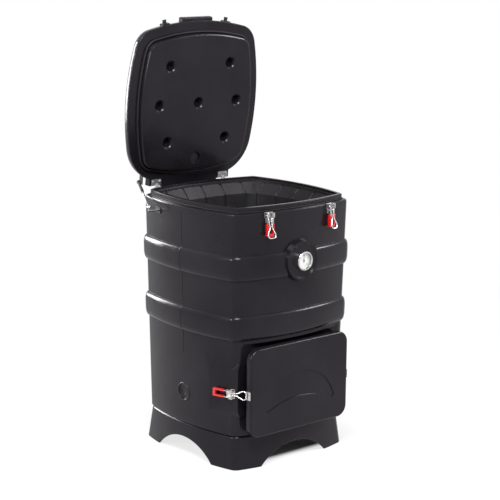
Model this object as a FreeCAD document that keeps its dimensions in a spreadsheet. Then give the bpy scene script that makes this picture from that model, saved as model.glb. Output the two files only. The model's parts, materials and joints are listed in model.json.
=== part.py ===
import FreeCAD, Part
import Sketcher
import math
import os

# Compost bin with a hinged lid, a lift-off door low on the front and four toggle latches.
# The origin is the middle of the floor under the plinth. The front faces -Y and +Z is up.
# The lid stands open, which is its rest place.

SIZES = {
    "body_half": 300,
    "side_bow": 38.8,
    "body_corner": 34,
    "side_taper": 0.0235,
    "shell_height": 797,
    "shell_wall": 5,
    "foot_round": 6,
    "shoulder_round": 9,
    "fit_gap": 0.4,
    "seat_gap": 0.3,
    "run_gap": 0.06,
    "band_low": 392,
    "band_high_drop": 192,
    "band_half": 45,
    "band_proud": 12,
    "lip_inset": 18.4,
    "lip_width": 12.6,
    "lip_rise": 18,
    "rim_seal_width": 2.8,
    "rim_seal_height": 3,
    "plinth_height": 120,
    "plinth_spread": 12,
    "plinth_gap": 3,
    "plinth_wall": 8,
    "arch_half": 152,
    "arch_rise": 67,
    "floor_lift": 70,
    "liner_wall": 9,
    "liner_inset": 72,
    "liner_corner": 62,
    "collar_drop": 37,
    "collar_edge": 10,
    "liner_lip_drop": 8,
    "channel_width": 11,
    "channel_depth": 5,
    "channel_gap": 88,
    "channel_low": 30,
    "door_lap": 40,
    "door_lap_low": 45,
    "door_lap_high": 43,
    "throat_wall": 5,
    "throat_back": 60,
    "seat_inset": 38,
    "door_slot": 12,
    "door_margin": 70,
    "door_low": 3,
    "door_high": 323,
    "door_depth": 24,
    "door_proud": 9,
    "door_corner": 42,
    "door_edge": 7,
    "door_wall": 5,
    "door_seal_depth": 3.6,
    "door_flange_rim": 14,
    "door_plug_gap": 4,
    "door_plug_depth": 40,
    "door_plug_corner": 12,
    "crescent_inset": 65,
    "crescent_lift": 95,
    "crescent_rise": 117,
    "crescent_sweep": 23,
    "crescent_tip": 20,
    "crescent_depth": 4,
    "pad_low": 100,
    "pad_high": 245,
    "pad_back": 75,
    "pad_front": 45,
    "pad_tilt": 16,
    "pad_slope": 24,
    "pad_fall": 9,
    "pad_inset": 37.5,
    "pad_root": 45,
    "pad_setback": 85,
    "lid_overhang": 1,
    "lid_bow": 38.5,
    "lid_front_corner": 80,
    "lid_rear_corner": 150,
    "lid_height": 60,
    "lid_lift": 19,
    "lid_edge": 12,
    "lid_crown": 80,
    "lid_wall": 5,
    "plug_inset": 44,
    "plug_front_corner": 50,
    "plug_rear_corner": 55,
    "plug_depth": 25,
    "plug_round": 12,
    "kiss_radius": 19,
    "kiss_depth": 26,
    "kiss_wall": 4,
    "kiss_flare": 4,
    "kiss_draft": 5,
    "kiss_side_inset": 77,
    "kiss_front_inset": 114,
    "kiss_rear_inset": 117,
    "kiss_front_across": 118,
    "kiss_rear_across": 122,
    "lid_seal_gap": 3,
    "lid_seal_width": 5.5,
    "lid_seal_height": 8.5,
    "handle_half": 70,
    "handle_reach": 12,
    "handle_height": 22,
    "handle_round": 6,
    "handle_root": 30,
    "handle_rise": 22,
    "lid_angle": 84.5,
    "hinge_stand": 12,
    "hinge_lift": 1,
    "hinge_inset": 142,
    "hinge_half": 22,
    "hinge_knuckle": 6,
    "hinge_pin": 2.5,
    "hinge_plate": 2.5,
    "hinge_barrel": 7,
    "hinge_drop": 50,
    "hinge_boss_half": 30,
    "hinge_boss_root": 40,
    "lug_short": 7,
    "lug_height": 26,
    "bolt_radius": 4.5,
    "bolt_height": 3.5,
    "bolt_spread": 15,
    "latch_inset": 158,
    "latch_drop": 9,
    "door_latch_rise": 60,
    "door_latch_ahead": 28,
    "latch_width": 32,
    "latch_half_height": 10,
    "latch_tongue": 27,
    "latch_tongue_width": 24,
    "latch_plate": 2.5,
    "latch_cheek": 2.5,
    "latch_cheek_gap": 26,
    "latch_cheek_reach": 16.5,
    "pivot_out": 12,
    "pivot_radius": 2.5,
    "rivet_head": 1.5,
    "lever_width": 25,
    "lever_strap": 2.5,
    "lever_depth": 8,
    "lever_length": 70,
    "lever_tail": 5,
    "bail_offset": 12,
    "grip_start": 30,
    "grip_cover": 3.6,
    "grip_depth": 12.5,
    "wire_radius": 2,
    "bail_length": 67,
    "bail_leg": 7,
    "bail_neck": 4,
    "bail_neck_drop": 31,
    "bail_half": 16,
    "bail_rest": 14,
    "strike_plate": 2,
    "strike_width": 30,
    "strike_lip": 2,
    "strike_slack": 0.5,
    "strike_lift": 1.8,
    "door_strike_length": 22,
    "door_strike_lip": 5,
    "lid_strike_stand": 1,
    "lid_strike_low": 16,
    "lid_strike_high": 4,
    "lid_strike_lip": 14,
    "lid_strike_seat": 25,
    "gauge_rise": 8,
    "boss_radius": 71,
    "boss_rim": 7,
    "boss_spread": 6,
    "boss_proud": 15,
    "boss_root": 13,
    "boss_dish": 5.5,
    "dial_radius": 30,
    "dial_depth": 4.8,
    "case_radius": 33.5,
    "case_depth": 15,
    "case_wall": 2,
    "glass_depth": 1.5,
    "stem_radius": 3.2,
    "stem_length": 130,
    "pointer_length": 22,
    "filler_radius": 31,
    "filler_lift": 116,
    "filler_depth": 4,
    "lid_filler_radius": 22,
    "lid_filler_inset": 50,
    "lid_filler_depth": 14,
    "lid_filler_recess": 6,
    "stay_arm_reach": 41,
    "stay_low_y": 141,
    "stay_low_drop": 25,
    "stay_high_inset": 78,
    "stay_high_behind": 36,
    "stay_high_rise": 27,
    "stay_tube_length": 92,
    "stay_tube_radius": 5.5,
    "stay_rod_radius": 3,
    "stay_overlap": 25,
    "stay_ball": 5,
    "stay_socket": 8.5,
    "stay_stud": 2.5,
    "stay_stud_length": 16,
    "stay_plate": 3,
    "stay_bracket_half": 9,
    "stay_lid_arm": 60,
    "stay_lid_arm_half": 9,
}

LEFT = -1
RIGHT = 1
SIDE_NAMES = {LEFT: "left", RIGHT: "right"}

# How far a band stands proud, from its edge to its middle, both as shares of the whole
BAND_PROFILE = [(1, 0), (0.94, 0.38), (0.84, 0.66), (0.68, 0.86), (0.4, 1)]

doc = FreeCAD.newDocument("compost_bin")
sheet = doc.addObject("Spreadsheet::Sheet", "Sizes")
for row, (alias, number) in enumerate(SIZES.items(), start=1):
    sheet.set("A%d" % row, alias)
    sheet.set("B%d" % row, str(number))
    sheet.setAlias("B%d" % row, alias)
doc.recompute()
size = {alias: float(sheet.get(alias)) for alias in SIZES}
V = FreeCAD.Vector
UP = V(0, 0, 1)
sub_parts = []


# Heights and faces that several pieces share

shell_bottom = size["plinth_height"]
shoulder = shell_bottom + size["shell_height"]
lip_top = shoulder + size["lip_rise"]
lid_bottom = shoulder + size["lid_lift"]
lid_half = size["body_half"] + size["lid_overhang"]
plug_half = lid_half - size["plug_inset"]
hinge_y = size["body_half"] + size["hinge_stand"]
lug_back = hinge_y - size["lug_short"]
hinge_spread = size["body_half"] - size["hinge_inset"]
latch_spread = size["body_half"] - size["latch_inset"]
hinge_z = shoulder + size["hinge_lift"]
side_radius = ((size["body_half"] - size["side_bow"]) ** 2 + size["side_bow"] ** 2) / (2 * size["side_bow"])
lid_radius = ((lid_half - size["lid_bow"]) ** 2 + size["lid_bow"] ** 2) / (2 * size["lid_bow"])
seat_y = -(size["body_half"] - size["seat_inset"])
door_face = size["body_half"] + size["door_proud"]
door_back = size["door_depth"] - door_face
door_half = size["body_half"] - size["door_margin"]
door_low = shell_bottom + size["door_low"]
door_high = shell_bottom + size["door_high"]
throat_half = door_half - size["door_lap"]
throat_low = door_low + size["door_lap_low"]
throat_high = door_high - size["door_lap_high"]
seat_top = door_high + size["door_slot"]
liner_half = size["body_half"] - size["liner_inset"]
mouth_half = size["body_half"] - size["lip_inset"] - size["lip_width"]
band_heights = (shell_bottom + size["band_low"], shoulder - size["band_high_drop"])
gauge_height = band_heights[1] + size["gauge_rise"]
gauge_face = size["body_half"] + size["boss_proud"]
reach = 2 * size["body_half"]


def half_at(height):
    """Half the width of the outer shell at a height, from its taper."""
    return size["body_half"] - size["side_taper"] * (shoulder - height)


def sag(radius, across):
    """How far a bowed side falls back at a distance from its middle."""
    return radius - math.sqrt(radius * radius - across * across)


# Outlines and solids

def outline(half, radius, front_corner, rear_corner, height):
    """Closed wire of four bowed sides with round corners, at one height."""
    offset = radius - half

    def corner(round_radius, side, end):
        span = radius - round_radius
        place = (math.sqrt(2 * span * span - offset * offset) - offset) / 2
        centre = V(side * place, end * place, height)
        end_arc = V(0, -end * offset, height)
        side_arc = V(-side * offset, 0, height)
        on_end = end_arc + (centre - end_arc).normalize() * radius
        on_side = side_arc + (centre - side_arc).normalize() * radius
        middle = centre + V(side, end, 0).normalize() * round_radius
        return on_end, middle, on_side

    front_left = corner(front_corner, -1, -1)
    front_right = corner(front_corner, 1, -1)
    rear_right = corner(rear_corner, 1, 1)
    rear_left = corner(rear_corner, -1, 1)
    arcs = [
        (front_left[0], V(0, -half, height), front_right[0]),
        (front_right[0], front_right[1], front_right[2]),
        (front_right[2], V(half, 0, height), rear_right[2]),
        (rear_right[2], rear_right[1], rear_right[0]),
        (rear_right[0], V(0, half, height), rear_left[0]),
        (rear_left[0], rear_left[1], rear_left[2]),
        (rear_left[2], V(-half, 0, height), front_left[2]),
        (front_left[2], front_left[1], front_left[0]),
    ]
    return Part.Wire([Part.Arc(*points).toShape() for points in arcs])


def body_loft(rows, corner, inset=0.0):
    """Solid through body outlines: rows of height, half width and edge rounding there."""
    rings = []
    for height, half, back in rows:
        shift = inset + back
        round_radius = max(corner - shift, 4)
        rings.append(outline(half - shift, side_radius - shift, round_radius, round_radius, height))
    return Part.makeLoft(rings, True, True)


def lid_loft(rows, half, front_corner, rear_corner):
    """Solid through lid outlines: rows of height and inset."""
    rings = []
    for height, inset in rows:
        radius = lid_radius - (lid_half - half) - inset
        front = max(front_corner - inset / 2, 6)
        rear = max(rear_corner - inset / 2, 6)
        rings.append(outline(half - inset, radius, front, rear, height))
    return Part.makeLoft(rings, True, True)


def box(x_range, y_range, z_range):
    corner = V(x_range[0], y_range[0], z_range[0])
    return Part.makeBox(x_range[1] - x_range[0], y_range[1] - y_range[0], z_range[1] - z_range[0], corner)


def add_solid(label, shape, place=None):
    """Sub-part whose form is neither a sketch nor a primitive."""
    feature = doc.addObject("Part::Feature", label)
    feature.Label = label
    feature.Shape = shape
    if place is not None:
        feature.Placement = place
    sub_parts.append(feature)
    return feature


# Sketched bodies

class Length:
    """A length as a number, with the expression that gives it from the sheet."""

    def __init__(self, number, text):
        self.number = float(number)
        self.text = text

    def __add__(self, other):
        other = as_length(other)
        return Length(self.number + other.number, "(%s + %s)" % (self.text, other.text))

    def __sub__(self, other):
        other = as_length(other)
        return Length(self.number - other.number, "(%s - %s)" % (self.text, other.text))

    def __mul__(self, factor):
        return Length(self.number * factor, "(%s * %s)" % (self.text, factor))

    def __truediv__(self, divisor):
        return Length(self.number / divisor, "(%s / %s)" % (self.text, divisor))

    def __neg__(self):
        return Length(-self.number, "(0 - %s)" % self.text)


def as_length(value):
    return value if isinstance(value, Length) else Length(value, str(value))


tied = {alias: Length(size[alias], "Sizes." + alias) for alias in SIZES}


def add_body(label, place):
    body = doc.addObject("PartDesign::Body", label)
    body.Label = label
    body.Placement = place
    sub_parts.append(body)
    return body


def add_sketch(body, role, loops=(), circles=(), lift=0):
    """Sketch whose corners and circles are tied to the sheet."""
    sketch = body.newObject("Sketcher::SketchObject", body.Label + "_sketch")
    plane = [feature for feature in body.Origin.OriginFeatures if feature.Role == role][0]
    sketch.AttachmentSupport = [(plane, "")]
    sketch.MapMode = "FlatFace"
    sketch.setExpression("AttachmentOffset.Base.z", as_length(lift).text)
    ties = []
    for loop in loops:
        first = sketch.GeometryCount
        corners = [(as_length(across), as_length(along)) for across, along in loop]
        points = [V(across.number, along.number, 0) for across, along in corners]
        count = len(points)
        for index in range(count):
            sketch.addGeometry(Part.LineSegment(points[index], points[(index + 1) % count]), False)
        for index in range(count):
            following = first + (index + 1) % count
            sketch.addConstraint(Sketcher.Constraint("Coincident", first + index, 2, following, 1))
        for index, (across, along) in enumerate(corners):
            for kind, length in (("DistanceX", across), ("DistanceY", along)):
                rule = Sketcher.Constraint(kind, -1, 1, first + index, 1, length.number)
                ties.append((sketch.addConstraint(rule), length))
    for across, along, radius in circles:
        number = sketch.GeometryCount
        across, along, radius = as_length(across), as_length(along), as_length(radius)
        sketch.addGeometry(Part.Circle(V(across.number, along.number, 0), UP, radius.number), False)
        for kind, length in (("DistanceX", across), ("DistanceY", along)):
            rule = Sketcher.Constraint(kind, -1, 1, number, 3, length.number)
            ties.append((sketch.addConstraint(rule), length))
        ties.append((sketch.addConstraint(Sketcher.Constraint("Radius", number, radius.number)), radius))
    for tie, length in ties:
        sketch.setExpression("Constraints[%d]" % tie, length.text)
    return sketch


def add_feature(kind, body, sketch, length, both_ways):
    feature = body.newObject("PartDesign::" + kind, body.Label + "_" + kind)
    feature.Profile = sketch
    feature.setExpression("Length", as_length(length).text)
    feature.Midplane = both_ways
    body.Tip = feature
    return feature


def pad(body, sketch, length, both_ways=False):
    return add_feature("Pad", body, sketch, length, both_ways)


def pocket(body, sketch, length):
    """Cut both ways from the sketch, and make sure that it takes material away."""
    doc.recompute()
    before = body.Tip.Shape.Volume
    feature = add_feature("Pocket", body, sketch, length, True)
    doc.recompute()
    if feature.Shape.Volume > before - 0.001:
        raise ValueError("the cut in %s takes nothing away" % body.Label)
    return feature


def rectangle(low_across, high_across, low_along, high_along):
    return [
        (low_across, low_along),
        (high_across, low_along),
        (high_across, high_along),
        (low_across, high_along),
    ]


def add_cylinder(label, radius, length, place):
    """Round sub-part along the Z axis of its place."""
    pin = doc.addObject("Part::Cylinder", label)
    pin.Label = label
    pin.setExpression("Radius", as_length(radius).text)
    pin.setExpression("Height", as_length(length).text)
    pin.Placement = place
    sub_parts.append(pin)
    return pin


def turn(axis, degrees, centre=None):
    return FreeCAD.Placement(V(0, 0, 0), FreeCAD.Rotation(axis, degrees), centre or V(0, 0, 0))


def move(x, y, z):
    return FreeCAD.Placement(V(x, y, z), FreeCAD.Rotation())


opened = turn(V(1, 0, 0), -size["lid_angle"], V(0, hinge_y, hinge_z))


# Plinth: a hollow foot with an arch in each side

def make_plinth():
    top = half_at(shell_bottom) - size["plinth_gap"]
    foot = half_at(shell_bottom) + size["plinth_spread"]
    wall = size["plinth_wall"]
    edge = size["foot_round"]
    rows = [(0, foot, 0), (shell_bottom - edge, top, 0), (shell_bottom, top, edge)]
    outer = body_loft(rows, size["body_corner"])
    hollow_rows = [(0, foot, wall), (shell_bottom - wall, top, wall)]
    shape = outer.cut(body_loft(hollow_rows, size["body_corner"]))
    rise = size["arch_rise"]
    arch_radius = (size["arch_half"] ** 2 + rise ** 2) / (2 * rise)
    for direction in (V(1, 0, 0), V(0, 1, 0)):
        start = V(0, 0, rise - arch_radius) - direction * reach
        shape = shape.cut(Part.makeCylinder(arch_radius, 2 * reach, start, direction))
    add_solid("base_plinth", shape)


# Body shell: bowed walls with two raised bands, a flat door seat and a rim lip

def shell_rows():
    """Heights, half widths and edge rounding of the outer wall without its bands."""
    edge = size["foot_round"]
    top_edge = size["shoulder_round"]
    rows = [(shell_bottom, edge), (shell_bottom + edge * 0.3, edge * 0.3), (shell_bottom + edge, 0)]
    rows += [(shoulder - top_edge, 0), (shoulder - top_edge * 0.3, top_edge * 0.3), (shoulder, top_edge)]
    return [(height, half_at(height), back) for height, back in rows]


def band_rows():
    """The outer wall with both bands standing proud of it."""
    rows = shell_rows()
    bands = []
    rise = [(-step, proud) for step, proud in BAND_PROFILE]
    fall = [(step, proud) for step, proud in reversed(BAND_PROFILE)]
    for centre in band_heights:
        for step, proud in rise + fall:
            height = centre + step * size["band_half"]
            bands.append((height, half_at(height), -proud * size["band_proud"]))
    return rows[:3] + bands + rows[3:]


def cavity_shape(spare):
    """Room between the outer wall and the liner; spare shrinks it on every side."""
    low = shell_bottom + size["shell_wall"] + spare
    high = shoulder - size["shell_wall"] - spare
    inset = size["shell_wall"] + spare
    rows = [(low, half_at(low), 0), (high, half_at(high), 0)]
    room = body_loft(rows, size["body_corner"], inset)
    above_seat = seat_top + size["shell_wall"] + spare
    front = seat_y + size["shell_wall"] + spare
    return room.cut(box((-reach, reach), (-reach, front), (0, above_seat)))


def door_latch_frame(side):
    """Place of a door latch: its own Z points to the strike and its -Y points outwards."""
    tilt = math.radians(size["pad_tilt"])
    toward = V(-side * math.sin(tilt), -math.cos(tilt), 0)
    outward = V(side * math.cos(tilt), -math.sin(tilt), 0)
    inward = outward * -1
    height = shell_bottom + size["pad_low"] + size["door_latch_rise"]
    start = V(side * (size["body_half"] - size["pad_inset"]), size["pad_setback"] - size["body_half"], height)
    rotation = FreeCAD.Rotation(inward.cross(toward), inward, toward, "ZXY")
    return FreeCAD.Placement(start, rotation), toward, outward


def corner_pad(side):
    """Raised pad on a lower front corner, flat where the door latch sits."""
    place, toward, outward = door_latch_frame(side)
    start = V(place.Base.x, place.Base.y, shell_bottom + size["pad_low"])
    back = start - toward * size["pad_back"]
    front = start + toward * size["pad_front"]
    inner = start.x - side * size["pad_root"]
    tall = size["pad_high"] - size["pad_low"]
    rings = []
    for rise, fall in ((-size["pad_slope"], 1), (0, 0), (tall, 0), (tall + size["pad_slope"], 1)):
        lift = UP * rise - outward * size["pad_fall"] * fall
        height = start.z + rise
        points = [back + lift, front + lift, V(front.x + lift.x, seat_y, height),
                  V(inner, seat_y, height), V(inner, back.y, height)]
        rings.append(Part.makePolygon(points + [points[0]]))
    return Part.makeLoft(rings, True, True)


def throat_box(grow, near, far):
    """Block through the door opening, grown on its four sides."""
    half = throat_half + grow
    return box((-half, half), (near, far), (throat_low - grow, throat_high + grow))


def gauge_hole(radius):
    return Part.makeCylinder(radius, reach, V(0, -reach, gauge_height), V(0, 1, 0))


def filler_hole(radius):
    """Round hole low in the middle of the left face."""
    height = shell_bottom + size["filler_lift"]
    deep = size["filler_depth"] + 4 * size["shell_wall"]
    return Part.makeCylinder(radius, deep + 1, V(-half_at(height) - 1, 0, height), V(1, 0, 0))


def make_body_shell():
    outer = body_loft(band_rows(), size["body_corner"])
    outer = outer.fuse([corner_pad(side) for side in (LEFT, RIGHT)])
    outer = outer.cut(box((-reach, reach), (-reach, seat_y), (0, seat_top)))
    lip = size["lip_inset"]
    edge = 2
    lip_rows = [(shoulder - 1, size["body_half"], lip), (lip_top - edge, size["body_half"], lip)]
    lip_rows.append((lip_top, size["body_half"], lip + edge))
    outer = outer.fuse(body_loft(lip_rows, size["body_corner"]))
    boss_start = V(0, -gauge_face, gauge_height)
    boss_length = size["boss_proud"] + size["boss_root"]
    foot_radius = size["boss_radius"] + size["boss_spread"]
    outer = outer.fuse(Part.makeCone(size["boss_radius"], foot_radius, boss_length, boss_start, V(0, 1, 0)))
    dish_radius = size["boss_radius"] - size["boss_rim"]
    floor_radius = dish_radius - size["boss_spread"]
    outer = outer.cut(Part.makeCone(dish_radius, floor_radius, size["boss_dish"], boss_start, V(0, 1, 0)))
    for side in (LEFT, RIGHT):
        low = shoulder - size["hinge_drop"] - 8
        middle = side * hinge_spread
        half = size["hinge_boss_half"]
        back = size["body_half"]
        depth = (back - size["hinge_boss_root"], back)
        block = box((middle - half, middle + half), depth, (low, shoulder - 2))
        outer = outer.fuse(block.cut(cavity_shape(0)))
    shape = outer.cut(cavity_shape(0))
    inset = size["lip_inset"] + size["lip_width"]
    corner = max(size["body_corner"] - inset, 6)
    rings = []
    for height in (shoulder - size["collar_drop"], lip_top + 1):
        rings.append(outline(mouth_half, side_radius - inset, corner, corner, height))
    shape = shape.cut(Part.makeLoft(rings, True, True))
    shape = shape.cut(throat_box(size["throat_wall"] + size["fit_gap"], -reach, 0))
    shape = shape.cut(gauge_hole(size["stem_radius"] + size["fit_gap"]))
    shape = shape.cut(filler_hole(size["filler_radius"]))
    add_solid("body_shell", shape)


# Liner: the inside wall, floor and sloping collar, with channels down its sides

def liner_rows(outside):
    wall = size["liner_wall"] if outside else 0
    base = shell_bottom + size["floor_lift"] - wall
    collar = shoulder - size["collar_drop"]
    edge = size["collar_edge"]
    top = lip_top - size["liner_lip_drop"]
    low_half = liner_half - size["side_taper"] * (collar - base)
    top_half = mouth_half - size["fit_gap"] - (0 if outside else size["liner_wall"])
    if outside:
        edge = edge + wall * 0.4
    rows = [(base, low_half + wall), (collar - wall * 0.3, liner_half + wall)]
    rows += [(top - edge, top_half), (top, top_half)]
    return rows


def liner_loft(outside, grow=0.0, over=0.0):
    rings = []
    rows = liner_rows(outside)
    for index, (height, half) in enumerate(rows):
        if index == len(rows) - 1:
            height += over
        if index == 0:
            height -= grow
        radius = side_radius - (size["body_half"] - half) + grow
        low_corner = size["liner_corner"] + (size["liner_wall"] if outside else 0)
        corner = low_corner if index < 2 else max(size["body_corner"] - size["body_half"] + half, 6)
        rings.append(outline(half + grow, radius, corner + grow, corner + grow, height))
    return Part.makeLoft(rings, True, True)


def channel_cutters():
    """Slabs that cut channels of one depth up the wall and the collar, on four sides."""
    rows = liner_rows(False)
    rise = (rows[0][0] + size["channel_low"], rows[2][0])
    limit = liner_loft(False, size["channel_depth"], 1)
    half = size["channel_width"] / 2
    cutters = []
    for place in range(-2, 3):
        middle = place * size["channel_gap"]
        across = (middle - half, middle + half)
        cutters.append(box(across, (-reach, reach), rise).common(limit))
        cutters.append(box((-reach, reach), across, rise).common(limit))
    return cutters


def make_liner():
    shape = liner_loft(True).cut(liner_loft(False, 0, 1))
    shape = shape.cut(channel_cutters())
    shape = shape.cut(throat_box(size["throat_wall"] + size["fit_gap"], -reach, 0))
    shape = shape.cut(gauge_hole(size["stem_radius"] + size["fit_gap"]))
    add_solid("inner_liner", shape)


def make_body_insulation():
    gap = size["fit_gap"]
    shape = cavity_shape(gap).cut(liner_loft(True, gap, size["collar_drop"]))
    shape = shape.cut(throat_box(size["throat_wall"] + 2 * gap, -reach, 0))
    shape = shape.cut(gauge_hole(size["stem_radius"] + 2 * gap))
    shape = shape.cut(filler_hole(size["filler_radius"] + gap))
    add_solid("body_insulation", shape)


def make_throat():
    wall = size["throat_wall"]
    back = size["throat_back"] - liner_half
    frame = throat_box(wall, seat_y + 0.5, back).cut(throat_box(0, seat_y - 1, back + 1))
    frame = frame.cut(liner_loft(False, 0, 1))
    add_solid("door_throat", frame)


def make_rim_seal():
    inset = size["lip_inset"] - size["seat_gap"]
    low = shoulder + 0.1
    high = shoulder + size["rim_seal_height"]
    half = size["body_half"]
    outer = body_loft([(low, half, 0), (high, half, 0)], size["body_corner"], inset - size["rim_seal_width"])
    inner = body_loft([(low - 1, half, 0), (high + 1, half, 0)], size["body_corner"], inset)
    add_solid("rim_seal", outer.cut(inner))


def make_body_filler_plug():
    height = shell_bottom + size["filler_lift"]
    face = half_at(height) - size["filler_depth"]
    rotation = FreeCAD.Rotation(V(0, 1, 0), 90)
    length = tied["shell_wall"] + tied["filler_depth"] * 3
    place = FreeCAD.Placement(V(-face, 0, height), rotation)
    add_cylinder("body_filler_plug", tied["filler_radius"] - tied["fit_gap"], length, place)


# Door: a thick panel with a plug that fills the opening, held by a latch on each side

def rounded_plate(half, low, high, near, far, corner, edge):
    """Upright plate with round corners and a rounded rim on its near face."""
    plate = box((-half, half), (near, far), (low, high))
    upright = [item for item in plate.Edges if abs(item.BoundBox.YLength - (far - near)) < 0.001]
    plate = plate.makeFillet(corner, upright)
    if edge:
        rim = [item for item in plate.Edges if item.BoundBox.YMax < near + 0.001]
        plate = plate.makeFillet(edge, rim)
    return plate


def crescent_shape():
    """Recess between two arcs on the door's face."""
    width = door_half - size["crescent_inset"]
    base = door_low + size["crescent_lift"]
    top = base + size["crescent_rise"]
    under = base + size["crescent_sweep"]
    front = -door_face - 1
    tip = size["crescent_tip"]
    drop = tip * 0.7
    back = tip * 0.3
    outer = Part.Arc(V(-width, front, base), V(0, front, top), V(width, front, base))
    inner = Part.Arc(V(width - tip, front, base - tip / 2), V(0, front, under),
                     V(tip - width, front, base - tip / 2))
    right_end = V(width - tip, front, base - tip / 2)
    left_end = V(tip - width, front, base - tip / 2)
    right_tip = Part.Arc(V(width, front, base), V(width - back, front, base - drop), right_end)
    left_tip = Part.Arc(left_end, V(back - width, front, base - drop), V(-width, front, base))
    wire = Part.Wire([item.toShape() for item in (outer, right_tip, inner, left_tip)])
    return Part.Face(wire).extrude(V(0, size["crescent_depth"] + 1, 0))


def make_door():
    def stepped_plate(grow, near, far, corner):
        """Plate as large as the opening and grown on its four sides."""
        return rounded_plate(throat_half + grow, throat_low - grow, throat_high + grow, near, far, corner, 0)

    panel = rounded_plate(door_half, door_low, door_high, -door_face, door_back,
                          size["door_corner"], size["door_edge"])
    seal = size["door_seal_depth"]
    rim = size["door_flange_rim"]
    corner = size["door_plug_corner"]
    flange = stepped_plate(rim, door_back - 1, seat_y - seal, corner + 8)
    gap = size["door_plug_gap"]
    plug_back = seat_y + size["door_plug_depth"]
    plug = stepped_plate(-gap, seat_y - seal - 1, plug_back, corner)
    shape = panel.fuse([flange, plug]).cut(crescent_shape())
    wall = size["door_wall"]
    front = -door_face + size["crescent_depth"] + wall
    room = stepped_plate(-gap - wall, front, plug_back - wall, corner - 4)
    add_solid("door_shell", shape.cut(room))
    spare = size["fit_gap"]
    fill = stepped_plate(-gap - wall - spare, front + spare, plug_back - wall - spare, corner - 4)
    add_solid("door_insulation", fill)
    near = seat_y - seal + 0.1
    far = seat_y - size["seat_gap"]
    ring = stepped_plate(rim - 1, near, far, corner + 7)
    inner = stepped_plate(spare - gap, near - 1, far + 1, corner)
    add_solid("door_seal", ring.cut(inner))


# Lid: one hollow moulding with a plug panel below, drawn closed and then turned open

def lid_crown_rows(shift):
    """Heights and insets of the lid's side and crown, moved in and down by a shift."""
    rows = [(lid_bottom + size["lid_edge"] - shift / 2, shift)]
    tall = size["lid_height"] - size["lid_edge"]
    steps = 6
    for step in range(1, steps + 1):
        angle = math.radians(90 * step / steps)
        height = lid_bottom + size["lid_edge"] + tall * math.sin(angle)
        rows.append((height - shift, size["lid_crown"] * (1 - math.cos(angle)) + shift))
    return rows


def lid_form(rows):
    return lid_loft(rows, lid_half, size["lid_front_corner"], size["lid_rear_corner"])


def lid_outer():
    return lid_form([(lid_bottom, 2), (lid_bottom + 3, 0)] + lid_crown_rows(0))


def lid_plug():
    edge = size["plug_round"]
    low = lid_bottom - size["plug_depth"]
    rows = [(low, edge), (low + edge * 0.3, edge * 0.3), (low + edge, 0), (lid_bottom + 2, 0)]
    return lid_loft(rows, plug_half, size["plug_front_corner"], size["plug_rear_corner"])


def kiss_places():
    """Spots where the plug panel and the lid's top meet in a round pit."""
    front = size["kiss_front_inset"] - plug_half
    rear = plug_half - size["kiss_rear_inset"]
    wide = plug_half - size["kiss_side_inset"]
    front_across = plug_half - size["kiss_front_across"]
    rear_across = plug_half - size["kiss_rear_across"]
    spots = [(0, 0)]
    for side in (LEFT, RIGHT):
        spots += [(side * front_across, front), (side * wide, 0), (side * rear_across, rear)]
    return spots


def lid_filler_place():
    return V(0, plug_half - size["lid_filler_inset"], lid_bottom - size["plug_depth"])


def lid_room(spare):
    """Hollow of the lid; spare shrinks it on every side."""
    inset = size["lid_wall"] + spare
    room = lid_form([(lid_bottom + inset, inset)] + lid_crown_rows(inset))
    low = lid_bottom - size["plug_depth"] + inset
    rows = [(low, inset + 6), (low + 8, inset), (lid_bottom + inset + 4, inset)]
    room = room.fuse(lid_loft(rows, plug_half, size["plug_front_corner"], size["plug_rear_corner"]))
    posts = []
    height = size["lid_height"] + size["plug_depth"]
    for x, y in kiss_places():
        start = V(x, y, lid_bottom - size["plug_depth"])
        posts.append(Part.makeCylinder(size["kiss_radius"] + size["kiss_wall"] + spare, height, start))
    post_radius = size["lid_filler_radius"] + size["kiss_wall"] + spare
    posts.append(Part.makeCylinder(post_radius, 2 * size["lid_filler_depth"], lid_filler_place()))
    return room.cut(posts)


def lid_strike_place(side):
    """Place of a strike on the shut lid's front, at the height of the raised bail's wire."""
    across = side * latch_spread
    stand = size["lid_strike_stand"] + size["seat_gap"]
    face = -(lid_half - sag(lid_radius, latch_spread)) - stand
    height = shoulder - size["latch_drop"] - size["bail_offset"] + size["bail_length"]
    tilt = math.degrees(math.asin(across / lid_radius))
    return FreeCAD.Placement(V(across, face, height), FreeCAD.Rotation(UP, tilt))


def lid_strike_seat(side):
    """Flat block behind a strike, drawn on the shut lid."""
    half = size["strike_width"] / 2 + 1
    gap = size["seat_gap"]
    seat = box((-half, half), (gap, gap + size["lid_strike_seat"]),
               (-size["lid_strike_low"] - 1, size["lid_strike_high"] + 1))
    seat.Placement = lid_strike_place(side)
    return seat


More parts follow.
